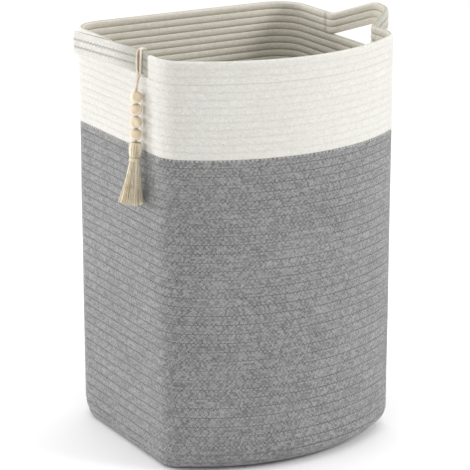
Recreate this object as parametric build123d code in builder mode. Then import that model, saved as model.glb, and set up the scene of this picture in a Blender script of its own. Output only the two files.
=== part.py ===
"""Tall open laundry hamper sewn from coiled cotton rope.

Grey rope makes the base and the lower wall, cream rope the upper wall. The top three cream
courses leave the wall at both short sides as handle straps. A beaded tassel hangs from the
left strap. Origin: middle of the foot, on the floor. +X is the right-hand handle, -Y the
bowed front, +Z up. Millimetres.
"""
import os
from math import cos, radians, sin, tan

from build123d import *

# Rope and courses
rope = 7.0  # thickness of the wall, one rope
cream_pitch = 9.9  # height of one cream course
cream_courses = 13
strap_courses = 3

# Basket
height = 560.0
half_width = 178.0
back_y = 171.0
front_y = -171.0
shoulder_y = -103.0  # where the straight sides meet the bowed front
corner_radius = 45.0
foot_radius = 30.0

colour_height = height - cream_courses * cream_pitch
strap_floor = height - strap_courses * cream_pitch
wall_middle = half_width - rope / 2

# Handles
handle_half_length = 62.0
joint_gap = 0.3  # between a strap's end and the rim it carries on from
strap_height = 28.0
strap_middle = height - strap_courses * cream_pitch / 2
strap_end = handle_half_length - joint_gap
tightest_strap_bend = 4.0
widest_strap_bend = 12.0

left_strap_route = [
    (-wall_middle, -strap_end, strap_middle),
    (-wall_middle, -58.0, strap_middle),
    (-177.0, -53.0, 549.5),
    (-214.0, 82.0, 556.0),
    (-wall_middle, 44.0, strap_middle),
    (-wall_middle, strap_end, strap_middle),
]
right_strap_route = [
    (wall_middle, -strap_end, strap_middle),
    (wall_middle, -49.0, strap_middle),
    (207.0, -39.0, 565.0),
    (208.0, -8.0, 568.0),
    (wall_middle, 50.0, strap_middle),
    (wall_middle, strap_end, strap_middle),
]

# Tassel
hitch_strand = 2.0
hitch_clearance = 0.5
hitch_spread = 2.6  # half the distance between the hitch's two strands
hitch_place = 6.5  # along the strap's straight run, from its front end
crossing_radius = 2.2
crossing_centre = Vector(-184.0, -47.0, 530.2)
twine_diameter = 4.2  # the doubled twine where it hangs
twine_route = [(-184.2, -47.0, 527.6), (-187.4, -47.0, 514.0), (-189.0, -47.0, 439.0)]
knot_centre = Vector(*twine_route[-1])
knot_radius = 3.8
bead_count = 4
bead_radius = 8.0
bead_bore_radius = 2.5
bead_pitch = 16.4
first_bead = 11.0  # along the twine's straight run
socket_radius = 4.2
mouth_angle = radians(62)  # half the socket's opening, which lets the tassel tip
dome_radius = 6.6
head_radius = 8.6
neck_radius = 6.2
core_radius = 5.8
binding_radius = 7.4
binding_bulge = 0.8
skirt_waist_radius = 11.2
skirt_radius = 17.0
cheek_drop = 6.4  # below the knot's centre, as the next four; the head is widest here
neck_drop = 16.0
binding_drop = 21.0
waist_drop = 43.0
skirt_drop = 78.0
tassel_lean = radians(5.9)  # the tassel tips out where it rests against the wall


def bend_radii(points, smallest, largest):
    """The radius of the arc at each inner point of a route, from its shorter run and its turn."""
    radii = []
    for before, corner, after in zip(points, points[1:], points[2:]):
        run_in = Vector(*corner) - Vector(*before)
        run_out = Vector(*after) - Vector(*corner)
        half_turn = radians(run_in.get_angle(run_out) / 2)
        radius = 0.45 * min(run_in.length, run_out.length) / tan(half_turn)
        radii.append(max(smallest, min(radius, largest)))
    return radii


def wall_outline(level, inset=0.0):
    """The basket's plan as a face at a height, pulled in from the wall's outer face by inset."""
    with BuildSketch(Plane.XY.offset(level)) as outline:
        with BuildLine():
            back = Line((half_width, back_y), (-half_width, back_y))
            left = Line(back @ 1, (-half_width, shoulder_y))
            front = ThreePointArc(left @ 1, (0, front_y), (half_width, shoulder_y))
            Line(front @ 1, back @ 0)
        make_face()
        fillet(outline.vertices(), corner_radius)
        if inset:
            offset(amount=-inset, mode=Mode.REPLACE)
    return outline.sketch


def wall_section(level):
    """The wall's own thickness as a face at a height."""
    with BuildSketch(Plane.XY.offset(level)) as section:
        add(wall_outline(level))
        add(wall_outline(level, rope), mode=Mode.SUBTRACT)
    return section.sketch


def strap(route):
    """A handle strap: an upright band that follows its route."""
    radii = bend_radii(route, tightest_strap_bend, widest_strap_bend)
    with BuildLine() as line:
        FilletPolyline(*route, radius=radii)
    path = line.wires()[0]
    with BuildPart() as band:
        with BuildSketch(Plane(origin=route[0], x_dir=(1, 0, 0), z_dir=(0, 1, 0))):
            Rectangle(rope, strap_height)
        sweep(path=path, binormal=path.moved(Location((0, 0, strap_height))))
    return band.part


# Base and foot ------------------------------------------------------------------------------

with BuildPart() as base_coil:
    add(wall_outline(0, foot_radius))
    extrude(amount=rope)
base_coil.part.label = "base_coil"

with BuildPart() as grey_hollow:
    add(wall_outline(rope, rope))
    extrude(amount=colour_height - rope)
    fillet(grey_hollow.faces().sort_by(Axis.Z)[0].edges(), foot_radius - rope)

with BuildPart() as grey_wall:
    add(wall_outline(0))
    extrude(amount=colour_height)
    fillet(grey_wall.faces().sort_by(Axis.Z)[0].edges(), foot_radius)
    add(grey_hollow.part, mode=Mode.SUBTRACT)
    add(base_coil.part, mode=Mode.SUBTRACT)
grey_wall.part.label = "grey_wall"

# Cream wall and rim -------------------------------------------------------------------------

with BuildPart() as cream_wall:
    add(wall_section(colour_height))
    extrude(amount=strap_floor - colour_height)
cream_wall.part.label = "cream_wall"

with BuildPart() as rim_front:
    add(wall_section(strap_floor))
    extrude(amount=height - strap_floor)
    split(bisect_by=Plane.XZ.offset(handle_half_length), keep=Keep.TOP)
rim_front.part.label = "rim_front"

with BuildPart() as rim_back:
    add(wall_section(strap_floor))
    extrude(amount=height - strap_floor)
    split(bisect_by=Plane.XZ.offset(-handle_half_length), keep=Keep.BOTTOM)
rim_back.part.label = "rim_back"

# Handle straps ------------------------------------------------------------------------------

with BuildPart() as handle_left:
    add(strap(left_strap_route))
handle_left.part.label = "handle_left"

with BuildPart() as handle_right:
    add(strap(right_strap_route))
handle_right.part.label = "handle_right"

# Hitch round the left strap -----------------------------------------------------------------

run_start = Vector(*left_strap_route[2])
run_end = Vector(*left_strap_route[3])
run_direction = (run_end - run_start).normalized()
hitch_plane = Plane(
    origin=run_start + run_direction * hitch_place,
    x_dir=(1, 0, 0),
    z_dir=run_direction,
)
loop_half_width = rope / 2 + hitch_clearance + hitch_strand / 2
loop_half_height = strap_height / 2 + hitch_clearance + hitch_strand / 2

with BuildPart() as tassel_hitch:
    for side in (-hitch_spread, hitch_spread):
        with BuildLine(hitch_plane.offset(side)):
            loop = Polyline(
                (0, loop_half_height),
                (-loop_half_width, loop_half_height),
                (-loop_half_width, -loop_half_height),
                (loop_half_width, -loop_half_height),
                (loop_half_width, loop_half_height),
                close=True,
            )
        with BuildSketch(Plane(origin=loop @ 0, z_dir=loop % 0)):
            Circle(hitch_strand / 2)
        sweep(path=loop, transition=Transition.ROUND)
tassel_hitch.part.label = "tassel_hitch"

with BuildPart(Plane(origin=crossing_centre)) as hitch_crossing:
    Sphere(crossing_radius)
hitch_crossing.part.label = "hitch_crossing"

# Twine, knot and beads ----------------------------------------------------------------------

twine_radii = bend_radii(twine_route, 0, 1000)
print("twine bend radii", [round(radius, 1) for radius in twine_radii])

with BuildPart() as tassel_twine:
    with BuildLine():
        twine_path = FilletPolyline(*twine_route, radius=twine_radii)
    with BuildSketch(Plane(origin=twine_path @ 0, z_dir=twine_path % 0)):
        Circle(twine_diameter / 2)
    sweep(path=twine_path)
tassel_twine.part.label = "tassel_twine"

with BuildPart() as twine_knot:
    with Locations(knot_centre):
        Sphere(knot_radius)
    add(tassel_twine.part, mode=Mode.SUBTRACT)
twine_knot.part.label = "twine_knot"

bead_line_start = Vector(*twine_route[1])
bead_line = (knot_centre - bead_line_start).normalized()


def bead(number):
    """One turned bead, bored through, counted from the top."""
    centre = bead_line_start + bead_line * (first_bead + (number - 1) * bead_pitch)
    with BuildPart(Plane(origin=centre, z_dir=bead_line)) as turned:
        Sphere(bead_radius)
        Hole(bead_bore_radius)
    turned.part.label = f"bead_{number}"
    return turned.part


beads = [bead(number + 1) for number in range(bead_count)]

# Tassel head, binding and skirt -------------------------------------------------------------

tassel_plane = Plane(
    origin=knot_centre,
    x_dir=(cos(tassel_lean), 0, -sin(tassel_lean)),
    z_dir=(0, -1, 0),
)
tassel_axis = Axis(knot_centre, tassel_plane.y_dir)
mouth = Vector(sin(mouth_angle), cos(mouth_angle))

with BuildPart() as tassel_head:
    with BuildSketch(tassel_plane):
        with BuildLine():
            ThreePointArc((0, -socket_radius), (socket_radius, 0), mouth * socket_radius)
            Line(mouth * socket_radius, mouth * dome_radius)
            Spline(
                mouth * dome_radius,
                (head_radius, -cheek_drop),
                (neck_radius, -neck_drop),
            )
            Polyline((neck_radius, -neck_drop), (0, -neck_drop), (0, -socket_radius))
        make_face()
    revolve(axis=tassel_axis)
tassel_head.part.label = "tassel_head"

with BuildPart() as neck_binding:
    with BuildSketch(tassel_plane):
        with BuildLine():
            Polyline(
                (binding_radius, -neck_drop),
                (core_radius, -neck_drop),
                (core_radius, -binding_drop),
                (binding_radius, -binding_drop),
            )
            ThreePointArc(
                (binding_radius, -binding_drop),
                (binding_radius + binding_bulge, -(neck_drop + binding_drop) / 2),
                (binding_radius, -neck_drop),
            )
        make_face()
    revolve(axis=tassel_axis)
neck_binding.part.label = "neck_binding"

with BuildPart() as tassel_skirt:
    with BuildSketch(tassel_plane):
        with BuildLine():
            Polyline((0, -neck_drop), (core_radius, -neck_drop), (core_radius, -binding_drop))
            Spline(
                (core_radius, -binding_drop),
                (skirt_waist_radius, -waist_drop),
                (skirt_radius, -skirt_drop),
            )
            Polyline((skirt_radius, -skirt_drop), (0, -skirt_drop), (0, -neck_drop))
        make_face()
    revolve(axis=tassel_axis)
tassel_skirt.part.label = "tassel_skirt"

# Files --------------------------------------------------------------------------------------

pieces = [
    base_coil.part,
    grey_wall.part,
    cream_wall.part,
    rim_front.part,
    rim_back.part,
    handle_left.part,
    handle_right.part,
    tassel_hitch.part,
    hitch_crossing.part,
    tassel_twine.part,
    twine_knot.part,
    *beads,
    tassel_head.part,
    neck_binding.part,
    tassel_skirt.part,
]

os.makedirs("parts", exist_ok=True)
for piece in pieces:
    export_step(piece, f"parts/{piece.label}.step")
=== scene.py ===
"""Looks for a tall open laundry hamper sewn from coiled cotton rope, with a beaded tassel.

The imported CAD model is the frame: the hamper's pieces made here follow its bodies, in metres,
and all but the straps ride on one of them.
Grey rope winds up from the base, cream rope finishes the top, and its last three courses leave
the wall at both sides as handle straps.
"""

import math
import random

import bpy
import numpy as np
from bpy.props import FloatProperty, IntProperty, PointerProperty
from mathutils import Matrix, Vector, noise


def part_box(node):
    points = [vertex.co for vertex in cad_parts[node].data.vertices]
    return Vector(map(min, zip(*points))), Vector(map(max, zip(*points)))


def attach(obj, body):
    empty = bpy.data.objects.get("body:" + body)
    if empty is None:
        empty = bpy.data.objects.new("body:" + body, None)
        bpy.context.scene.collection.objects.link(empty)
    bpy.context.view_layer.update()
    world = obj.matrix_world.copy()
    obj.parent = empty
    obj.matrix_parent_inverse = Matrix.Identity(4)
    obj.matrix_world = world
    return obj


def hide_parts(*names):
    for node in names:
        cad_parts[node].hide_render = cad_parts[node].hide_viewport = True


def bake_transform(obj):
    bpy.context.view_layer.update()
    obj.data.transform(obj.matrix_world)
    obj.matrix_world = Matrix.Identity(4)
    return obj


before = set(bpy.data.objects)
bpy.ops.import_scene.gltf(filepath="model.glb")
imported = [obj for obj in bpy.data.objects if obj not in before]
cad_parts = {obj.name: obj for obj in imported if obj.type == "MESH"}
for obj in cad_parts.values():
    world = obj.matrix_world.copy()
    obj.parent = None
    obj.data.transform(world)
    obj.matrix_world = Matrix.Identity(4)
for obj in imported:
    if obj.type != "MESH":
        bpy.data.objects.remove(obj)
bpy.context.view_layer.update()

bl_info = {
    "name": "Rope Hamper",
    "version": (1, 0, 0),
    "blender": (4, 5, 0),
    "location": "View3D > Sidebar > Hamper",
    "description": "Builds a coiled rope hamper with strap handles and a beaded tassel",
    "category": "Object",
}

MM = 0.001

# Plan of the basket, in millimetres
HALF_WIDTH = 178.0
BACK_Y = 171.0
FRONT_Y = -171.0
SHOULDER_Y = -103.0
CORNER = 45.0
JUNCTION_Y = 62.0
FOOT_ROLL = 30.0
ROPE = 7.0

# The soft foot is pushed askew: its roll's width in front as a share of the even one, how much
# wider it gets to the right and at the back, and narrower along the sagging left side
FOOT_FRONT = 1.12
FOOT_RIGHT = 0.45
FOOT_BACK = 0.4
FOOT_SAG = 0.35

# Straps: the route of each one's middle line, from its front end to its rear end
LEFT_STRAP = [
    (-174.5, -62.0, 545.15),
    (-174.5, -58.0, 545.15),
    (-177.0, -53.0, 549.5),
    (-214.0, 82.0, 556.0),
    (-174.5, 44.0, 545.15),
    (-174.5, 62.0, 545.15),
]
RIGHT_STRAP = [
    (174.5, -62.0, 545.15),
    (174.5, -49.0, 545.15),
    (207.0, -39.0, 565.0),
    (208.0, -8.0, 568.0),
    (174.5, 50.0, 545.15),
    (174.5, 62.0, 545.15),
]

# The reach of a strap's corners in millimetres, and the steps along it
STRAP_CORNER = 11.0
STRAP_STEPS = 180

# Share of the right strap's route that is its front part. The left one's ends where it turns back.
RIGHT_CUT = 0.42

# Cream courses all the way round, and above them in the rim and the straps
CREAM_COURSES = 10
RIM_COURSES = 3

# How square a stack of courses ends: where others are sewn on, at the rim and below a strap
SEWN_CAP = 20.0
RIM_CAP = 2.6
STRAP_CAP = 3.0

# The middle of the view, in metres
AIM = (0.0014, 0.0240, 0.2700)

# Tassel
BEADS = range(1, 5)
TWINE_ROUTE = [
    (-184.2, -47.0, 527.6),
    (-187.4, -47.0, 514.0),
    (-187.7, -47.0, 500.0),
    (-189.0, -47.0, 439.0),
]
TWINE = 4.2
TWINE_TURNS = 4.5
TASSEL_LEAN = math.radians(5.9)

# The tassel in metres: (distance from its axis, drop below the knot) over its head, then the
# binding's and the skirt's
HEAD_LINE = [
    (0.0045, -0.0036),
    (0.0060, -0.0034),
    (0.0074, -0.0010),
    (0.0080, 0.0030),
    (0.0079, 0.0070),
    (0.0070, 0.0115),
    (0.0058, 0.0165),
]
NECK_RADIUS, NECK_TOP, NECK_HEIGHT = 0.0072, 0.0162, 0.0046
SKIRT_TOP, SKIRT_BOTTOM = 0.0160, 0.0770
SKIRT_NARROW, SKIRT_WIDE = 0.0054, 0.0162


# Settings ---------------------------------------


def length_setting(name, description, default):
    """A length in metres."""
    return FloatProperty(
        name=name, description=description, default=default, unit="LENGTH", subtype="DISTANCE"
    )


def angle_setting(name, description, degrees):
    """An angle, given in degrees."""
    return FloatProperty(
        name=name,
        description=description,
        default=math.radians(degrees),
        unit="ROTATION",
        subtype="ANGLE",
    )


class RopeSettings(bpy.types.PropertyGroup):
    """How the rope courses lie."""

    grey_courses: IntProperty(
        name="Grey Courses", description="Courses of grey rope", default=36, min=4
    )
    top_pitch: length_setting("Top Pitch", "Height of the highest grey course", 0.0110)
    foot_pitch: length_setting("Foot Pitch", "Height of the lowest grey course", 0.0139)
    cream_pitch: length_setting("Cream Pitch", "Height of one cream course", 0.0099)
    grey_groove: length_setting(
        "Grey Groove", "Depth of the grooves on the outside of the grey wall", 0.0010
    )
    cream_groove: length_setting(
        "Cream Groove", "Depth of the grooves on the outside of the cream wall", 0.00015
    )
    strap_groove: length_setting(
        "Strap Groove", "Depth of the grooves on the outside of the straps", 0.0007
    )
    inner_groove: length_setting("Inner Groove", "Depth of the grooves on the inside", 0.0017)
    waviness: length_setting("Waviness", "How far the wall strays from its plan", 0.0007)
    stitch_step: length_setting(
        "Stitch Step", "How far along each slant of the zigzag stitch goes", 0.0030
    )
    stitch_reach: length_setting(
        "Stitch Reach", "How far the zigzag goes to each side of its groove", 0.0026
    )
    thread_radius: length_setting("Thread Radius", "Radius of the sewing thread", 0.0004)


class TasselSettings(bpy.types.PropertyGroup):
    """The twine, beads and cotton strands."""

    bead_radius: length_setting("Bead Radius", "Radius of each wooden bead", 0.008)
    head_strands: IntProperty(
        name="Head Strands", description="Strands over the head", default=44, min=8
    )
    skirt_strands: IntProperty(
        name="Skirt Strands", description="Loose strands", default=260, min=20
    )
    strand_radius: length_setting("Strand Radius", "Radius of one cotton strand", 0.00065)


class StageSettings(bpy.types.PropertyGroup):
    """The camera and the lights."""

    azimuth: angle_setting("Azimuth", "Camera's turn from the hamper's front", -30.2)
    elevation: angle_setting("Elevation", "Camera's height above the horizon", 16.8)
    distance: length_setting("Distance", "From the camera to the middle of the hamper", 3.2)
    lens: FloatProperty(
        name="Lens", description="Focal length in millimetres", default=177.0, min=1.0
    )


# Mesh helpers -----------------------------------


def travelled(points, back=False):
    """Lengths along a line of points, and with back, the length at its first point again."""
    last = {"append": points[:1]} if back else {}
    steps = np.linalg.norm(np.diff(points, axis=0, **last), axis=1)
    return np.concatenate([[0], np.cumsum(steps)])


def map_of(along, across):
    """A grid's map: along changes over its columns and across over its rows."""
    return np.stack(np.broadcast_arrays(along[None, :], np.asarray(across)[:, None]), 2)


def as_object(name, points, faces, uvs, material):
    """A smooth mesh object with one material and a map of lengths, one pair for each corner."""
    mesh = bpy.data.meshes.new(name)
    mesh.from_pydata(points, [], faces)
    mesh.polygons.foreach_set("use_smooth", [True] * len(mesh.polygons))
    layer = mesh.uv_layers.new(name="lay")
    layer.data.foreach_set("uv", np.asarray(uvs, np.float32).ravel())
    mesh.materials.append(material)
    mesh.update()
    made = bpy.data.objects.new(name, mesh)
    bpy.context.scene.collection.objects.link(made)
    return made


class Pile:
    """Vertices, faces and map corners gathered from several grids into one mesh."""

    def __init__(self):
        self.points, self.faces, self.uvs = [], [], []

    def grid(self, rows, lay, close_rows=False, close_columns=False):
        """Adds a grid of points. lay has the map's value at each point and at each closing one."""
        count, width, _ = rows.shape
        base = len(self.points)
        self.points.extend(map(tuple, rows.reshape(-1, 3)))
        for i in range(count if close_rows else count - 1):
            for j in range(width if close_columns else width - 1):
                ring = [(i, j), (i, j + 1), (i + 1, j + 1), (i + 1, j)]
                self.faces.append([base + (a % count) * width + b % width for a, b in ring])
                self.uvs.extend(tuple(lay[a, b]) for a, b in ring)

    def tube(self, line, radius, sides=6, closed=False, start=0.0):
        """Adds a tube along a line of points. radius is one length or one for each point."""
        line = np.asarray(line, float)
        radius = np.broadcast_to(radius, len(line))
        ahead = np.roll(line, -1, 0) - np.roll(line, 1, 0)
        if not closed:
            ahead[0], ahead[-1] = line[1] - line[0], line[-1] - line[-2]
        ahead /= np.maximum(np.linalg.norm(ahead, axis=1), 1e-12)[:, None]
        side = Vector(ahead[0]).orthogonal().normalized()
        turns = np.linspace(0, 2 * math.pi, sides, endpoint=False)
        rings = []
        for point, way, thick in zip(line, ahead, radius):
            way = Vector(way)
            side = (side - way * side.dot(way)).normalized()
            up = way.cross(side)
            wheel = np.outer(np.cos(turns), side) + np.outer(np.sin(turns), up)
            rings.append(point + wheel * thick)
        along = start + travelled(line, back=True)
        around = np.arange(sides + 1) / sides
        lay = np.stack(np.broadcast_arrays(along[:, None], around[None, :]), 2)
        self.grid(np.array(rings), lay, close_rows=closed, close_columns=True)
        if not closed:
            base = len(self.points) - sides * len(line)
            self.cap([base + k for k in range(sides)][::-1], along[0])
            self.cap([base + sides * (len(line) - 1) + k for k in range(sides)], along[-2])

    def cap(self, ring, along):
        """Closes a ring of vertices with one face."""
        self.faces.append(ring)
        self.uvs.extend((along, k / len(ring)) for k in range(len(ring)))

    def make(self, name, material):
        """Turns the pile into an object."""
        return as_object(name, self.points, self.faces, self.uvs, material)


# Plan and rope courses --------------------------


def run(a, b, count, outward):
    """Samples of a straight stretch of the plan: places and outward directions, without b."""
    shares = np.linspace(0, 1, count, endpoint=False)[:, None]
    places = np.array(a) + shares * (np.array(b) - np.array(a))
    return np.hstack([places, np.tile(outward, (count, 1))])


def bow(centre, radius, first, last, count):
    """Samples of an arc of the plan, without its last point."""
    turns = np.linspace(first, last, count, endpoint=False)
    ways = np.stack([np.cos(turns), np.sin(turns)], 1)
    return np.hstack([np.array(centre) + radius * ways, ways])


def plan():
    """The basket's plan as stretches of samples, in order round it: back, left, front, right."""
    rise = SHOULDER_Y - FRONT_Y
    front_radius = (HALF_WIDTH**2 + rise**2) / (2 * rise)
    front_middle = FRONT_Y + front_radius
    x = HALF_WIDTH - CORNER
    y = front_middle - math.sqrt((front_radius - CORNER) ** 2 - x**2)
    back_y = BACK_Y - CORNER
    turn = math.atan2(y - front_middle, x)
    back = [
        run((HALF_WIDTH, JUNCTION_Y), (HALF_WIDTH, back_y), 6, (1, 0)),
        bow((x, back_y), CORNER, 0, math.pi / 2, 14),
        run((x, BACK_Y), (-x, BACK_Y), 24, (0, 1)),
        bow((-x, back_y), CORNER, math.pi / 2, math.pi, 14),
        run((-HALF_WIDTH, back_y), (-HALF_WIDTH, JUNCTION_Y), 6, (-1, 0)),
    ]
    left = [run((-HALF_WIDTH, JUNCTION_Y), (-HALF_WIDTH, -JUNCTION_Y), 10, (-1, 0))]
    front = [
        run((-HALF_WIDTH, -JUNCTION_Y), (-HALF_WIDTH, y), 3, (-1, 0)),
        bow((-x, y), CORNER, math.pi, math.pi - turn, 12),
        bow((0, front_middle), front_radius, -math.pi - turn, turn, 48),
        bow((x, y), CORNER, turn, 0, 12),
        run((HALF_WIDTH, y), (HALF_WIDTH, -JUNCTION_Y), 3, (1, 0)),
    ]
    right = [run((HALF_WIDTH, -JUNCTION_Y), (HALF_WIDTH, JUNCTION_Y), 10, (1, 0))]
    return [np.vstack(stretch) for stretch in (back, left, front, right)]


# The wall's straying: waves to a metre, and the length over which it fades out at an open end
STRAY_WAVES = 9.0
STRAY_FADE = 0.04


def stray(points, amount, closed=True):
    """How far the sewn wall strays outward at each point, which is nothing at an open end."""
    strays = np.array([amount * noise.noise(Vector(p) * STRAY_WAVES) for p in points])
    if not closed:
        gone = travelled(points)
        strays *= np.clip(np.minimum(gone, gone[-1] - gone) / STRAY_FADE, 0, 1)
    return strays


def foot_shares(outward):
    """How wide the foot's roll is at each outward direction, as a share of its even width."""
    x, y = outward.T
    share = FOOT_FRONT + FOOT_RIGHT * x + FOOT_BACK * np.maximum(0, y)
    share -= FOOT_SAG * np.maximum(0, -x) ** 6
    return share[:, None]


# Heights within a course at which its face is drawn, from -1 at its foot to 1 at its top
COURSE_STEPS = (-1.0, -0.93, -0.8, -0.5, 0.0, 0.5, 0.8, 0.93)
TOP_STEPS = (0.5, 0.8, 0.93, 1.0)
CAP_STEPS = (0.3, 0.55, 0.75, 0.88, 0.96, 0.99, 1.0)

# How sharply the faces turn into their grooves: the powers of a course's height
OUTER_SHARPNESS = 5
INNER_SHARPNESS = 3

# Added to the map's course number on inner faces and under the base, for the materials to tell
INSIDE_LAY = 60
UNDER_LAY = 40


def course_side(levels, depth, sharpness, half, bottom_cap=0.0, top_cap=0.0):
    """One side of a stack of courses, from its bottom up: (height, distance from the middle, lay).

    levels are the joints between courses. A cap above 0 rounds that end over to the middle,
    and a larger one is squarer.
    """
    line = []
    last = len(levels) - 2
    for number, (low, high) in enumerate(zip(levels, levels[1:])):
        steps = list(COURSE_STEPS)
        if number == 0 and bottom_cap:
            steps = [-s for s in CAP_STEPS[::-1]] + [s for s in steps if s >= 0]
        if number == last:
            steps = [s for s in steps if s <= 0] + list(CAP_STEPS if top_cap else TOP_STEPS)
        for step in steps:
            width = half - depth * abs(step) ** sharpness
            cap = 0.0
            if number == 0 and step < 0:
                cap = bottom_cap
            elif number == last and step > 0:
                cap = top_cap
            if cap:
                width = min(width, half * max(0.0, 1 - abs(step) ** cap) ** (1 / cap))
            line.append((low + (high - low) * (step + 1) / 2, width, number + (step + 1) / 2))
    return line


def course_section(levels, settings, groove, bottom_cap=0.0, top_cap=0.0):
    """A stack of courses' closed section: (height, distance outward from the middle, lay)."""
    half = ROPE * MM / 2
    outer = course_side(levels, groove, OUTER_SHARPNESS, half, bottom_cap, top_cap)
    inner = course_side(levels, settings.inner_groove, INNER_SHARPNESS, half, bottom_cap, top_cap)
    inside = [(height, -width, lay + INSIDE_LAY) for height, width, lay in inner[::-1]]
    return outer + inside


def sweep_section(pile, places, outward, section, close_columns, wave=None, start=0.0):
    """Adds a stack of courses that follows a line of places, with its heights above theirs.

    start is the map's length at the first place.
    """
    rows = []
    for height, reach, _ in section:
        ring = places + outward * reach + np.array((0, 0, height))
        if wave:
            ring = ring + outward * stray(ring, wave, close_columns)[:, None]
        rows.append(ring)
    along = start + travelled(places, back=True)
    lay = map_of(along, [lay for _, _, lay in section] + [section[0][2]])
    base = len(pile.points)
    pile.grid(np.array(rows), lay, close_rows=True, close_columns=close_columns)
    if not close_columns:
        ring = [base + len(places) * k for k in range(len(section))]
        pile.cap(ring, along[0])
        pile.cap([corner + len(places) - 1 for corner in ring][::-1], along[-2])


def at_height(flat, height):
    """Points or directions of the plan as ones in space, all at one height."""
    return np.hstack([flat, np.full((len(flat), 1), height)])


def ring_places(stretches):
    """Places in metres, and outward directions, of plan stretches at the wall's middle."""
    samples = np.vstack(stretches)
    outward = at_height(samples[:, 2:], 0.0)
    places = at_height(samples[:, :2], 0.0) * MM - outward * ROPE * MM / 2
    return places, outward


def open_places(stretch, following):
    """The same for a stretch with its last point, which is the first of the following one."""
    return ring_places([stretch, following[:1]])


# The sewing: how deep its thread lies in the rope's face, in metres, and how uneven it is
SUNK = 0.00025
STITCH_DRIFT = 0.18
STITCH_REACHES = (0.8, 1.1)

# The map's second value round a thread, which keeps it off the rope's groove tone
THREAD_BAND = np.linspace(0.3, 0.7, 5)


def zigzag(pile, places, outward, settings, chance, closed):
    """Sews a zigzag thread along a line of places on the rope's face, over the groove there."""
    if closed:
        places, outward = np.vstack([places, places[:1]]), np.vstack([outward, outward[:1]])
    gone = travelled(places)
    count = 2 * int(gone[-1] / settings.stitch_step / 2)
    drift = np.array([chance.uniform(-1, 1) for _ in range(count)])
    spots = (np.arange(count) + 0.5 + STITCH_DRIFT * drift) * (gone[-1] / count)
    line = np.stack([np.interp(spots, gone, places[:, k]) for k in range(3)], 1)
    ways = np.stack([np.interp(spots, gone, outward[:, k]) for k in range(3)], 1)
    side = np.where(np.arange(count) % 2, 1.0, -1.0) * settings.stitch_reach
    side *= np.array([chance.uniform(*STITCH_REACHES) for _ in range(count)])
    corners = line - ways * SUNK + side[:, None] * np.array((0, 0, 1.0))
    ends = np.roll(corners, -1, 0)
    slants = (ends - corners) / np.linalg.norm(ends - corners, axis=1)[:, None]
    across = np.cross(slants, ways)
    wheels = np.stack([ways, across, -ways, -across], 1) * settings.thread_radius
    lay = np.stack(np.meshgrid(THREAD_BAND, (0.0, 2 * settings.stitch_reach))[::-1], 2)
    for k in range(count if closed else count - 1):
        pile.grid(np.array([corners[k] + wheels[k], ends[k] + wheels[k]]), lay, close_columns=True)


def cream_levels(settings):
    """The joints of the full cream courses from the bottom up, and those of the rim's courses."""
    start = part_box("cream_wall")[0].z
    numbers = range(CREAM_COURSES + RIM_COURSES + 1)
    levels = [start + settings.cream_pitch * number for number in numbers]
    return levels[: CREAM_COURSES + 1], levels[CREAM_COURSES:]


# Materials --------------------------------------


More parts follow.
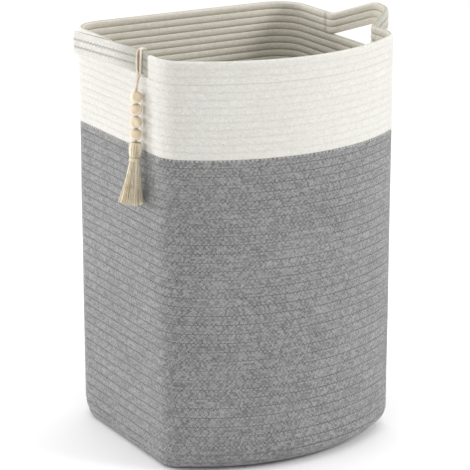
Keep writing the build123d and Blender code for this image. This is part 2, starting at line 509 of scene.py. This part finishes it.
class Shader:
    """A material's node tree, written as short calls. A value is a socket or a constant."""

    def __init__(self, name):
        self.material = bpy.data.materials.new(name)
        self.material.use_nodes = True
        self.tree = self.material.node_tree
        self.surface = self.tree.nodes["Principled BSDF"]

    def put(self, socket, value):
        """Links a socket or sets a constant."""
        if isinstance(value, bpy.types.NodeSocket):
            self.tree.links.new(value, socket)
        else:
            socket.default_value = value

    def node(self, kind, values, **settings):
        """A node with its settings and its inputs by name or number."""
        made = self.tree.nodes.new(kind)
        for key, value in settings.items():
            setattr(made, key, value)
        for key, value in values.items():
            self.put(made.inputs[key], value)
        return made

    def math(self, operation, a, b=0.0, c=0.0):
        """One sum."""
        return self.node("ShaderNodeMath", {0: a, 1: b, 2: c}, operation=operation).outputs[0]

    def times(self, a, b, plus=None):
        """a times b, and plus a third value where there is one."""
        if plus is None:
            return self.math("MULTIPLY", a, b)
        return self.math("MULTIPLY_ADD", a, b, plus)

    def vector(self, x, y, z=0.0):
        """Three numbers as one vector."""
        return self.node("ShaderNodeCombineXYZ", {0: x, 1: y, 2: z}).outputs[0]

    def split(self, vector):
        """The three numbers of a vector."""
        return self.node("ShaderNodeSeparateXYZ", {0: vector}).outputs

    def noise(self, vector, scale, detail=2.0, roughness=0.5):
        """Cloudy noise, from 0 to 1."""
        values = {"Vector": vector, "Scale": scale, "Detail": detail, "Roughness": roughness}
        return self.node("ShaderNodeTexNoise", values).outputs[0]

    def chance(self, vector):
        """A random number for each whole place."""
        return self.node("ShaderNodeTexWhiteNoise", {"Vector": vector}).outputs[0]

    def spread(self, value, low, high, to_low=0.0, to_high=1.0):
        """A value's range stretched to another, with soft ends."""
        values = {0: value, 1: low, 2: high, 3: to_low, 4: to_high}
        return self.node("ShaderNodeMapRange", values, interpolation_type="SMOOTHSTEP").outputs[0]

    def ramp(self, value, stops):
        """Colours along a value."""
        made = self.node("ShaderNodeValToRGB", {0: value})
        elements = made.color_ramp.elements
        while len(elements) < len(stops):
            elements.new(1.0)
        for element, (place, colour) in zip(elements, stops):
            element.position = place
            element.color = (*colour, 1.0)
        return made.outputs[0]

    def mix(self, share, a, b, blend="MIX"):
        """Two colours mixed."""
        made = self.tree.nodes.new("ShaderNodeMix")
        made.data_type = "RGBA"
        made.blend_type = blend
        for number, value in ((0, share), (6, a), (7, b)):
            self.put(made.inputs[number], value)
        return made.outputs[2]

    def lay(self):
        """The mesh's own map: metres along, and which course or turn."""
        return self.split(self.node("ShaderNodeUVMap", {}, uv_map="lay").outputs[0])

    def place(self):
        """Places in the piece's own space, in metres."""
        return self.node("ShaderNodeTexCoord", {}).outputs["Object"]

    def finish(self, colour, roughness, height=None, depth=0.0003, sheen=0.0):
        """Sets the surface, with height as a bump of that depth."""
        self.put(self.surface.inputs["Base Color"], colour)
        self.put(self.surface.inputs["Roughness"], roughness)
        self.put(self.surface.inputs["Sheen Weight"], sheen)
        self.put(self.surface.inputs["Specular IOR Level"], 0.25)
        if height is not None:
            values = {"Height": height, "Distance": depth, "Strength": 1.0}
            self.put(self.surface.inputs["Normal"], self.node("ShaderNodeBump", values).outputs[0])
        return self.material


# The braid's rows of strands to a course, a strand's length along it in metres, and the map's
# course number from which faces count as inner
BRAID_ROWS = 4.0
BRAID_STEP = 0.0026
INSIDE_FROM = 50.0


def rope_material(name, tones, groove_shade_tone, contrast, groove_shading, inside=(1.0, 1.0, 1.0), front_shade=None):
    """Braided cotton: slanting strands in rows along each course, each strand with its own tone.

    contrast is the strands' own, and the value after it sets how dark the painted shade in the
    grooves between courses gets; the groove tone is that painted shade's colour. inside tints the
    inner face with painted warm shade, and the last value paints shade on the outer face at a
    front end.
    """
    s = Shader(name)
    along, across, _ = s.lay()

    # Strands, each a random tone, with fibres and broad patches over them
    row = s.times(across, BRAID_ROWS)
    slant = s.math("PINGPONG", row, 1.0)
    drift = s.noise(s.place(), 260.0, 2.0)
    lead = s.times(slant, 0.9, s.times(drift, 2.2))
    strand = s.math("ADD", s.math("DIVIDE", along, BRAID_STEP), lead)
    tone = s.chance(s.vector(s.math("FLOOR", strand), s.math("FLOOR", row)))
    fibres = s.noise(s.place(), 700.0, 3.0, 0.75)
    patch = s.noise(s.place(), 14.0, 2.0)
    tone = s.times(fibres, 0.9, s.times(tone, contrast))
    tone = s.times(patch, 0.12, tone)
    tone = s.spread(tone, 0.32, 0.72 + contrast)
    colour = s.ramp(tone, tones)

    # Painted shade in the gaps between strands, then in the grooves between courses, where it
    # fades in and out outside and lies full on the inner face
    round_strand = s.math("SINE", s.times(s.math("FRACT", strand), math.pi))
    gap_shade = s.spread(round_strand, 0.5, 0.0, 0.0, 0.3)
    colour = s.mix(gap_shade, colour, (*groove_shade_tone, 1.0))
    inner = s.spread(across, INSIDE_FROM, INSIDE_FROM + 1.0)
    from_middle = s.math("ABSOLUTE", s.math("SUBTRACT", s.math("FRACT", across), 0.5))
    fading = s.spread(s.noise(s.place(), 17.0, 1.0), 0.36, 0.58, 0.2, groove_shading)
    depth = s.math("MAXIMUM", fading, inner)
    groove = s.times(s.spread(from_middle, 0.43, 0.48), depth)
    colour = s.mix(groove, colour, (*groove_shade_tone, 1.0))

    # Painted shade: warm over the inner face, and on the outer face towards a front end
    colour = s.mix(inner, colour, s.mix(1.0, colour, (*inside, 1.0), "MULTIPLY"))
    # Painted shade on the outer face, darkest within 12 mm of the front end and gone by 90 mm
    if front_shade:
        end = s.times(s.spread(along, 0.09, 0.012), s.math("SUBTRACT", 1.0, inner))
        colour = s.mix(end, colour, s.mix(1.0, colour, (*front_shade, 1.0), "MULTIPLY"))
    height = s.times(fibres, 0.35, s.times(round_strand, 0.65))
    return s.finish(colour, 0.92, height, 0.0005, 0.25)


def strand_material(name, tones, twist):
    """A twisted cotton strand: plies wind round it, with painted shade between them, and its tone
    changes along it.

    Each strand's map starts at its own whole number of metres, which gives it its own tone.
    """
    s = Shader(name)
    along, around, _ = s.lay()
    turns = s.times(along, twist, s.times(around, 2.0))
    ply = s.math("SINE", s.times(turns, math.tau))
    fibres = s.noise(s.place(), 1400.0, 2.0, 0.6)
    patch = s.noise(s.place(), 120.0, 2.0)
    own = s.chance(s.vector(s.math("FLOOR", along), 0.0))
    tone = s.times(fibres, 0.5, s.times(patch, 0.4))
    # Fibres, patches and each strand's own tone are the cotton's; the ply wave is painted shade
    # between the plies and painted light on their crowns
    tone = s.times(ply, 0.14, tone)
    tone = s.times(own, 0.35, tone)
    colour = s.ramp(s.spread(tone, 0.25, 1.0), tones)
    height = s.times(ply, 0.5, fibres)
    return s.finish(colour, 0.8, height, 0.0002, 0.35)


def turned_wood():
    """Pale turned wood with fine rings and pores."""
    s = Shader("turned wood")
    x, y, z = s.split(s.place())
    warp = s.times(s.noise(s.place(), 60.0, 2.0), 1.4)
    rings = s.times(s.math("ADD", y, s.times(z, 0.45)), 620.0, warp)
    ring = s.times(s.math("SINE", rings), 0.25, 0.5)
    grain = s.noise(s.vector(s.times(x, 0.12), y, z), 2400.0, 2.0)
    tone = s.times(grain, 0.45, s.times(ring, 0.6))
    stops = [(0.15, (0.52, 0.39, 0.25)), (0.5, (0.76, 0.65, 0.48)), (0.9, (0.88, 0.80, 0.65))]
    colour = s.ramp(tone, stops)
    return s.finish(colour, s.spread(grain, 0.0, 1.0, 0.5, 0.68), grain, 0.00006)


def grey_rope():
    """Heathered grey cotton, with painted shade in its grooves and between its strands."""
    tones = [(0.0, (0.10, 0.10, 0.10)), (0.5, (0.225, 0.225, 0.225)), (1.0, (0.39, 0.39, 0.387))]
    return rope_material("grey braid", tones, (0.09, 0.09, 0.09), contrast=0.3, groove_shading=1.0)


CREAM_TONES = [(0.0, (0.61, 0.595, 0.55)), (0.5, (0.68, 0.67, 0.63)), (1.0, (0.74, 0.735, 0.70))]
# The colour of the painted shade in the cream rope's grooves and strand gaps
CREAM_GROOVE_SHADE = (0.40, 0.37, 0.29)
# The painted warm shade over the inner face
CREAM_INSIDE_SHADE = (1.0, 0.965, 0.89)
# The colour that paints shade on the straps' outer face at their front ends
STRAP_FRONT_SHADE = (0.64, 0.645, 0.60)


def cream_rope():
    """Natural cream cotton, with painted warm shade over the inner face."""
    return rope_material("cream braid", CREAM_TONES, CREAM_GROOVE_SHADE, 0.25, 0.18, CREAM_INSIDE_SHADE)


def strap_rope():
    """The same cotton on the straps, with painted shade, darker and greyer, on their front ends
    beside the front rim.
    """
    return rope_material(
        "strap braid with painted shade", CREAM_TONES, CREAM_GROOVE_SHADE, 0.25, 0.4, CREAM_INSIDE_SHADE, STRAP_FRONT_SHADE
    )


def twine_stuff():
    """Natural twine in brownish tones, with painted shade between its plies."""
    tones = [(0.0, (0.36, 0.26, 0.17)), (0.5, (0.70, 0.59, 0.45)), (1.0, (0.88, 0.81, 0.70))]
    return strand_material("twisted twine", tones, 380.0)


def cotton_strands():
    """Undyed cotton strands."""
    tones = [(0.0, (0.40, 0.30, 0.17)), (0.5, (0.78, 0.69, 0.51)), (1.0, (0.93, 0.88, 0.76))]
    return strand_material("cotton strands", tones, 420.0)


def grey_thread():
    """Light grey sewing thread."""
    s = Shader("grey thread")
    along, around, _ = s.lay()
    ply = s.math("SINE", s.times(s.times(along, 900.0, around), math.tau))
    tone = s.times(ply, 0.2, s.noise(s.place(), 500.0))
    return s.finish(s.ramp(tone, [(0.2, (0.27, 0.27, 0.27)), (0.8, (0.52, 0.52, 0.52))]), 0.7)


MADE = {}


def material(maker):
    """The material that a maker makes, made on first use."""
    if maker.__name__ not in MADE:
        MADE[maker.__name__] = maker()
    return MADE[maker.__name__]


# Straps -----------------------------------------


def smooth_route(points):
    """A strap's route with each corner turned as a short smooth curve, in even steps."""
    most = 0.46
    points = [Vector(p) * MM for p in points]
    line = [points[0]]
    for before, corner, after in zip(points, points[1:], points[2:]):
        shorter = min((before - corner).length, (after - corner).length)
        reach = min(STRAP_CORNER * MM, most * shorter)
        first = corner + (before - corner).normalized() * reach
        last = corner + (after - corner).normalized() * reach
        for share in np.linspace(0, 1, 9):
            line.append(first.lerp(corner, share).lerp(corner.lerp(last, share), share))
    line.append(points[-1])
    line = np.array(line)
    gone = travelled(line)
    places = np.linspace(0, gone[-1], STRAP_STEPS)
    return np.stack([np.interp(places, gone, line[:, k]) for k in range(3)], 1)


def strap_piece(name, line, outward_sign, levels, start):
    """Three courses along part of a strap's line, which begins start metres from its front end."""
    settings = bpy.context.scene.hamper_rope
    ahead = np.gradient(line, axis=0)
    flat = np.stack([ahead[:, 1], -ahead[:, 0], np.zeros(len(line))], 1)
    flat /= np.linalg.norm(flat, axis=1)[:, None]
    middle = (levels[0] + levels[-1]) / 2
    heights = [level - middle for level in levels]
    section = course_section(heights, settings, settings.strap_groove, STRAP_CAP, RIM_CAP)
    pile = Pile()
    outward = flat * outward_sign
    sweep_section(pile, line, outward, section, False, start=start)
    chance = random.Random(name)
    for height in heights[1:-1]:
        face = line + outward * ROPE * MM / 2 + np.array((0, 0, height))
        zigzag(pile, face, outward, settings, chance, False)
    return pile.make(name, material(strap_rope))


# Operators --------------------------------------


class HAMPER_OT_camera(bpy.types.Operator):
    """Sets the camera up in front of the hamper, a little to its left"""

    bl_idname = "hamper.camera"
    bl_label = "Camera"

    def execute(self, context):
        s = context.scene.hamper_stage
        level = math.cos(s.elevation) * s.distance
        back = Vector((math.sin(s.azimuth) * level, -math.cos(s.azimuth) * level, 0))
        back.z = math.sin(s.elevation) * s.distance
        lens = bpy.data.cameras.new("camera")
        lens.lens = s.lens
        lens.clip_end = 50
        camera = bpy.data.objects.new("camera", lens)
        camera.location = Vector(AIM) + back
        camera.rotation_euler = (-back).to_track_quat("-Z", "Y").to_euler()
        context.scene.collection.objects.link(camera)
        context.scene.camera = camera
        return {"FINISHED"}


def twine_line():
    """Points along the twine, read from its smooth spline."""
    curve = bpy.data.curves.new("twine_line", "CURVE")
    curve.dimensions = "3D"
    spline = curve.splines.new("NURBS")
    spline.points.add(len(TWINE_ROUTE) - 1)
    for point, place in zip(spline.points, TWINE_ROUTE):
        point.co = (*(Vector(place) * MM), 1.0)
    spline.order_u = 3
    spline.use_endpoint_u = True
    spline.resolution_u = 24
    carrier = bpy.data.objects.new("twine_line", curve)
    mesh = bpy.data.meshes.new_from_object(carrier)
    line = np.array([v.co for v in mesh.vertices])
    bpy.data.objects.remove(carrier)
    bpy.data.curves.remove(curve)
    bpy.data.meshes.remove(mesh)
    return line


class HAMPER_OT_twine(bpy.types.Operator):
    """Twists the two legs of the twine together on their way down to the knot"""

    bl_idname = "hamper.twine"
    bl_label = "Twine"

    def execute(self, context):
        line = twine_line()
        stuff = material(twine_stuff)
        pile = Pile()
        drop = np.linspace(0, 1, len(line))
        for leg in range(2):
            turn = math.pi * leg + drop * math.tau * TWINE_TURNS
            swing = np.stack([np.cos(turn), np.sin(turn), np.zeros(len(line))], 1)
            pile.tube(line + swing * TWINE * MM / 4, TWINE * MM / 4, 8, start=leg)
        twine = pile.make("twine", stuff)
        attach(twine, "twine")
        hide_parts("tassel_twine")

        middle = line[-1]
        turn = np.linspace(0, math.tau, 60, endpoint=False)
        reach = 1.0 + 0.45 * np.cos(3 * turn)
        knot_line = np.stack(
            [reach * np.cos(2 * turn), reach * np.sin(2 * turn), 0.75 * np.sin(3 * turn)], 1
        )
        pile = Pile()
        knot_reach, thick = 0.0018, 0.0011
        pile.tube(middle + knot_line * knot_reach, thick, 8, closed=True)
        knot = pile.make("end_knot", stuff)
        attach(knot, "twine")
        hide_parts("twine_knot")
        return {"FINISHED"}


class HAMPER_OT_beads(bpy.types.Operator):
    """Turns the four wooden beads on the twine"""

    bl_idname = "hamper.beads"
    bl_label = "Beads"

    def execute(self, context):
        radius = context.scene.hamper_tassel.bead_radius
        wood = material(turned_wood)
        hang = (Vector(TWINE_ROUTE[1]) - Vector(TWINE_ROUTE[3])).normalized()
        chance = random.Random(4)
        bore, lip = 0.0025, 0.0006
        start = math.asin((bore + lip) / radius)
        bore_end = radius * math.cos(start) - lip * 0.8
        round_side = np.linspace(start, math.pi - start, 27)
        profile = [(bore, -bore_end)]
        profile += [(radius * math.sin(a), -radius * math.cos(a)) for a in round_side]
        profile += [(bore, bore_end)]
        turns = np.linspace(0, math.tau, 40, endpoint=False)
        rows = [[(r * math.cos(a), r * math.sin(a), z) for a in turns] for r, z in profile]
        lay = map_of(np.linspace(0, 1, len(turns) + 1), np.linspace(0, 1, len(profile) + 1))
        for number in BEADS:
            low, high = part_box(f"bead_{number}")
            pile = Pile()
            pile.grid(np.array(rows), lay, close_rows=True, close_columns=True)
            bead = pile.make(f"wood_bead_{number}", wood)
            bead.rotation_mode = "QUATERNION"
            spin = Matrix.Rotation(chance.uniform(0, math.tau), 3, "Z").to_quaternion()
            bead.rotation_quaternion = hang.to_track_quat("Z", "Y") @ spin
            bead.location = (low + high) / 2
            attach(bead, f"bead_{number}")
            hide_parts(f"bead_{number}")
        return {"FINISHED"}


def tassel_place(radius, turn, drop):
    """A point of the tassel by its distance from the axis, turn and drop below the knot."""
    x, y = radius * math.cos(turn), radius * math.sin(turn)
    lean = Matrix.Rotation(TASSEL_LEAN, 3, "Y")
    return Vector(TWINE_ROUTE[-1]) * MM + lean @ Vector((x, y, -drop))


class HAMPER_OT_tassel(bpy.types.Operator):
    """Lays the tassel's head, binding and loose skirt from single strands"""

    bl_idname = "hamper.tassel"
    bl_label = "Tassel"

    def execute(self, context):
        settings = context.scene.hamper_tassel
        cotton = material(cotton_strands)
        chance = random.Random(11)

        pile = Pile()
        for number in range(settings.head_strands):
            turn = math.tau * (number + chance.uniform(-0.25, 0.25)) / settings.head_strands
            lift = chance.uniform(-0.0003, 0.0003)
            line = [tassel_place(r + lift, turn, d) for r, d in HEAD_LINE]
            pile.tube(line, settings.strand_radius * 1.15, 5, start=number)
        head = pile.make("tassel_head_strands", cotton)
        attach(head, "tassel")
        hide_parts("tassel_head")

        pile = Pile()
        wraps, thick = 7, 0.00040
        turns = np.linspace(0, math.tau * wraps, wraps * 28)
        drops = NECK_TOP + NECK_HEIGHT * turns / turns[-1]
        radii = NECK_RADIUS + 0.0003 * np.sin(drops * 680)
        pile.tube([tassel_place(*spot) for spot in zip(radii, turns, drops)], thick, 6)
        binding = pile.make("tassel_binding", cotton)
        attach(binding, "tassel")
        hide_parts("neck_binding")

        pile = Pile()
        for number in range(settings.skirt_strands):
            share = (number + 0.5) / settings.skirt_strands
            depth = math.sqrt(chance.uniform(0.12, 1.0))
            turn = math.tau * share * 13 + chance.uniform(-0.1, 0.1)
            clump = 0.03 * math.sin(turn * 9 + 1.3) + 0.075 * math.sin(turn * 26)
            bottom = SKIRT_BOTTOM + chance.uniform(-0.0016, 0.0008)
            curl = chance.uniform(-0.0004, 0.0004)
            line = []
            for step in np.linspace(0, 1, 9):
                drop = SKIRT_TOP + (bottom - SKIRT_TOP) * step
                spread = 0.62 * step + 0.38 * step**1.8
                flare = SKIRT_NARROW + (SKIRT_WIDE - SKIRT_NARROW) * spread - 0.0006 * (step < 0.1)
                swing = turn + clump * step + 0.06 * math.sin(step * 4 + number)
                line.append(tassel_place(flare * depth + curl * math.sin(step * 6), swing, drop))
            pile.tube(line, settings.strand_radius * chance.uniform(0.8, 1.1), 5, start=number)
        skirt = pile.make("tassel_skirt_strands", cotton)
        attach(skirt, "tassel")
        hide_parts("tassel_skirt")

        line = twine_line()
        on_it = ["end_knot", "tassel_head_strands", "tassel_binding", "tassel_skirt_strands"]
        on_it += [f"wood_bead_{number}" for number in BEADS]
        return {"FINISHED"}


class HAMPER_OT_hitch(bpy.types.Operator):
    """Loops the twine over the left strap as a lark's head"""

    bl_idname = "hamper.hitch"
    bl_label = "Hitch"

    def execute(self, context):
        twine = material(twine_stuff)
        start, end = Vector(LEFT_STRAP[2]), Vector(LEFT_STRAP[3])
        way = (end - start).normalized()
        middle = (start + way * 6.5) * MM
        across = Vector((-way.y, way.x, 0)).normalized()
        up = way.cross(across).normalized()
        half, tall, thick = 0.0051, 0.0163, 0.00135
        pile = Pile()
        for sign in (-1, 1):
            line = []
            for turn in np.linspace(0, math.tau, 48, endpoint=False):
                c, s = math.cos(turn), math.sin(turn)
                wide = half * math.copysign(abs(c) ** 0.35, c)
                high = tall * math.copysign(abs(s) ** 0.55, s)
                apart = 0.0013 + 0.0024 * (1 - abs(s) ** 3) * (c > 0) + 0.0010 * (c <= 0)
                line.append(middle + across * wide + up * high + way * apart * sign)
            pile.tube(line, thick, 8, closed=True)
        hitch = pile.make("hitch_strands", twine)
        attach(hitch, "hitch")
        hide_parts("tassel_hitch")

        low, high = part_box("hitch_crossing")
        centre = (low + high) / 2
        pile = Pile()
        for sign in (-1, 1):
            line = [
                centre + Vector((0.0006 * sign, 0.0026 * sign, 0.0021)),
                centre + Vector((0.0010 * sign, 0.0012 * sign, 0.0010)),
                centre + Vector((0.0006 * sign, -0.0006 * sign, -0.0006)),
                centre + Vector((0.0, -0.0010 * sign, -0.0026)),
            ]
            pile.tube(line, thick, 8)
        turn = np.linspace(0, math.tau, 28, endpoint=False)
        band = [0.0021 * np.cos(turn), 0.0026 * np.sin(turn), 0.0004 * np.sin(2 * turn)]
        pile.tube(np.array(centre) + np.stack(band, 1), thick * 0.8, 8, closed=True)
        crossing = pile.make("hitch_cross", twine)
        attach(crossing, "crossing")
        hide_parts("hitch_crossing")
        return {"FINISHED"}


class HAMPER_OT_base(bpy.types.Operator):
    """Winds the flat base from rings of grey rope"""

    bl_idname = "hamper.base"
    bl_label = "Base"

    def execute(self, context):
        samples = np.vstack(plan())
        edge = samples[:, :2] * MM - samples[:, 2:] * FOOT_ROLL * MM * foot_shares(samples[:, 2:])
        half_spine = 0.03
        spine = at_height(np.clip(edge[:, :1], -half_spine, half_spine), 0.0)
        rings, groove, half = 13, 0.0014, ROPE * MM / 2
        steps = (0.0, 0.08, 0.22, 0.5, 0.78, 0.92)
        upper = [number + step for number in range(rings) for step in steps]
        lower = [number + 1 - step for number in reversed(range(rings)) for step in steps]
        rows, lays = [], []
        for turns, side, first_lay in ((upper, 1, 0), (lower, -1, UNDER_LAY)):
            for turn in turns:
                shape = spine + (edge - spine) * turn / rings
                bulge = half - groove * abs(2 * (turn % 1) - 1) ** 4
                rows.append(at_height(shape, half + side * bulge))
                lays.append(turn + first_lay)
        lay = map_of(travelled(edge, back=True), lays + lays[:1])
        pile = Pile()
        pile.grid(np.array(rows), lay, close_rows=True, close_columns=True)
        base = pile.make("base_coils", material(grey_rope))
        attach(base, "basket")
        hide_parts("base_coil")
        return {"FINISHED"}


# The lowest grey joint with stitches drawn: the ones below it are on the foot's roll
FIRST_SEWN = 4


def grey_joints(settings):
    """Lengths up the grey wall's outer face at which one course ends and the next begins."""
    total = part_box("grey_wall")[1].z - FOOT_ROLL * MM + FOOT_ROLL * MM * math.pi / 2
    pitches = np.linspace(settings.foot_pitch, settings.top_pitch, settings.grey_courses)
    return np.concatenate([[0], np.cumsum(pitches)]) * total / pitches.sum()


def grey_profile(length):
    """A point of the grey wall's outer face by its length from the base: (inset, height, lean)."""
    roll = FOOT_ROLL * MM
    turn = min(length / roll, math.pi / 2)
    height = roll - roll * math.cos(turn) + max(0.0, length - roll * math.pi / 2)
    return roll - roll * math.sin(turn), height, turn


class HAMPER_OT_grey_wall(bpy.types.Operator):
    """Builds the grey courses, from the foot's roll up to the cream rope"""

    bl_idname = "hamper.grey_wall"
    bl_label = "Grey Wall"

    def execute(self, context):
        settings = context.scene.hamper_rope
        samples = np.vstack(plan())
        half = ROPE * MM / 2
        joints = grey_joints(settings)
        section = course_section(joints, settings, settings.grey_groove)
        rows, lays = [], []
        for length, reach, lay in section:
            inset, height, turn = grey_profile(length)
            deep = half - reach
            inset = inset * foot_shares(samples[:, 2:]) + deep * math.sin(turn)
            height += deep * math.cos(turn)
            ring = at_height(samples[:, :2] * MM - samples[:, 2:] * inset, height)
            wave = stray(ring, settings.waviness)[:, None] * min(1.0, height / (FOOT_ROLL * MM))
            ring[:, :2] += samples[:, 2:] * wave
            rows.append(ring)
            lays.append(lay)
        lay = map_of(travelled(samples[:, :2] * MM, back=True), lays + lays[:1])
        pile = Pile()
        pile.grid(np.array(rows), lay, close_rows=True, close_columns=True)
        wall = pile.make("grey_courses", material(grey_rope))
        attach(wall, "basket")
        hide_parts("grey_wall")

        pile = Pile()
        outward = at_height(samples[:, 2:], 0.0)
        chance = random.Random(7)
        for joint in joints[FIRST_SEWN:-1]:
            _, height, _ = grey_profile(joint)
            face = at_height(samples[:, :2] * MM, height)
            face += outward * stray(face, settings.waviness)[:, None]
            zigzag(pile, face, outward, settings, chance, True)
        stitches = pile.make("grey_stitches", material(grey_thread))
        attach(stitches, "basket")
        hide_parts("grey_wall")
        return {"FINISHED"}


class HAMPER_OT_cream_wall(bpy.types.Operator):
    """Builds the ten full cream courses and the rim's three at the front and back"""

    bl_idname = "hamper.cream_wall"
    bl_label = "Cream Wall"

    def execute(self, context):
        settings = context.scene.hamper_rope
        cream = material(cream_rope)
        chance = random.Random(8)
        back, left, front, right = plan()
        full = ring_places([back, left, front, right])
        sewn, rim = cream_levels(settings)
        makings = [
            ("cream_courses", "cream_wall", full, True, sewn, SEWN_CAP),
            ("rim_back_courses", "rim_back", open_places(back, left), False, rim, RIM_CAP),
            ("rim_front_courses", "rim_front", open_places(front, right), False, rim, RIM_CAP),
        ]
        for name, node, (places, outward), closed, levels, cap in makings:
            section = course_section(levels, settings, settings.cream_groove, top_cap=cap)
            pile = Pile()
            sweep_section(pile, places, outward, section, closed, wave=settings.waviness)
            for level in levels[:-1]:
                face = places + outward * ROPE * MM / 2 + np.array((0, 0, level))
                face += outward * stray(face, settings.waviness, closed)[:, None]
                zigzag(pile, face, outward, settings, chance, closed)
            piece = pile.make(name, cream)
            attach(piece, "basket")
            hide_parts(node)
        return {"FINISHED"}


class HAMPER_OT_straps(bpy.types.Operator):
    """Builds each strap in a front and a rear part"""

    bl_idname = "hamper.straps"
    bl_label = "Straps"

    def execute(self, context):
        _, levels = cream_levels(context.scene.hamper_rope)
        left, right = smooth_route(LEFT_STRAP), smooth_route(RIGHT_STRAP)
        turn_back = int(np.argmax(left[:, 1]))
        right_cut = int(len(right) * RIGHT_CUT)
        for side, sign, route, line, cut, rear_bend in (
            ("left", -1, LEFT_STRAP, left, turn_back, Vector((-0.205, 0.072, 0.553))),
            ("right", 1, RIGHT_STRAP, right, right_cut, Vector((0.196, 0.018, 0.560))),
        ):
            body = f"handle_{side}"
            start = travelled(line[: cut + 1])[-1]
            front = strap_piece(f"strap_{side}_front", line[: cut + 1], sign, levels, 0.0)
            rear = strap_piece(f"strap_{side}_rear", line[cut:], sign, levels, start)
            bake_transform(front)
            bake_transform(rear)
            for piece in (front, rear):
                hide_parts(body)
        return {"FINISHED"}


class HAMPER_OT_stage(bpy.types.Operator):
    """Lays the floor and hangs the lights"""

    bl_idname = "hamper.stage"
    bl_label = "Stage"

    def execute(self, context):
        scene = context.scene
        s = Shader("floor")
        tone = s.noise(s.place(), 3.0, 2.0)
        pale = s.ramp(tone, [(0.0, (0.90, 0.90, 0.90)), (1.0, (0.94, 0.94, 0.94))])
        floor_material = s.finish(pale, 0.6)
        pile = Pile()
        reach, below = 9.0, -0.0005
        marks = (-reach, 0, reach)
        rows = np.array([[(x, y, below) for x in marks] for y in marks])
        pile.grid(rows, np.zeros((3, 3, 2)))
        floor = pile.make("floor", floor_material)

        world = bpy.data.worlds.new("studio")
        world.use_nodes = True
        colour, strength = world.node_tree.nodes["Background"].inputs[:2]
        colour.default_value = (1, 1, 1, 1)
        strength.default_value = 0.69
        scene.world = world
        scene.view_settings.view_transform = "Standard"
        for name, place, size, power in (
            ("top_light", (0.2, 0.9, 4.5), 7.0, 130.0),
            ("rear_left_light", (-2.2, 2.2, 0.9), 0.8, 44.0),
            ("left_light", (-2.9, 0.2, 0.9), 0.8, 11.0),
            ("front_right_light", (2.0, -2.2, 2.0), 1.4, 56.0),
        ):
            light = bpy.data.lights.new(name, "AREA")
            light.shape = "DISK"
            light.size = size
            light.energy = power
            lamp = bpy.data.objects.new(name, light)
            lamp.location = place
            aim = Vector((0, place[1] if name == "top_light" else 0, 0.3))
            lamp.rotation_euler = (aim - Vector(place)).to_track_quat("-Z", "Y").to_euler()
            scene.collection.objects.link(lamp)
        return {"FINISHED"}


class HAMPER_PT_panel(bpy.types.Panel):
    """Lists the makings in the sidebar"""

    bl_label = "Rope Hamper"
    bl_idname = "HAMPER_PT_panel"
    bl_space_type = "VIEW_3D"
    bl_region_type = "UI"
    bl_category = "Hamper"

    def draw(self, context):
        for group in ("hamper_rope", "hamper_tassel", "hamper_stage"):
            settings = getattr(context.scene, group)
            box = self.layout.box()
            for key in settings.__annotations__:
                box.prop(settings, key)
        for maker in OPERATORS:
            self.layout.operator(maker.bl_idname)


SETTINGS = (RopeSettings, TasselSettings, StageSettings)
OPERATORS = (
    HAMPER_OT_camera,
    HAMPER_OT_twine,
    HAMPER_OT_beads,
    HAMPER_OT_tassel,
    HAMPER_OT_hitch,
    HAMPER_OT_base,
    HAMPER_OT_grey_wall,
    HAMPER_OT_cream_wall,
    HAMPER_OT_straps,
    HAMPER_OT_stage,
)


def register():
    for kind in (*SETTINGS, *OPERATORS, HAMPER_PT_panel):
        bpy.utils.register_class(kind)
    bpy.types.Scene.hamper_rope = PointerProperty(type=RopeSettings)
    bpy.types.Scene.hamper_tassel = PointerProperty(type=TasselSettings)
    bpy.types.Scene.hamper_stage = PointerProperty(type=StageSettings)


def unregister():
    del bpy.types.Scene.hamper_rope
    del bpy.types.Scene.hamper_tassel
    del bpy.types.Scene.hamper_stage
    for kind in reversed((*SETTINGS, *OPERATORS, HAMPER_PT_panel)):
        bpy.utils.unregister_class(kind)


def main():
    register()
    for maker in OPERATORS:
        group, name = maker.bl_idname.split(".")
        getattr(getattr(bpy.ops, group), name)()


if __name__ == "__main__":
    main()
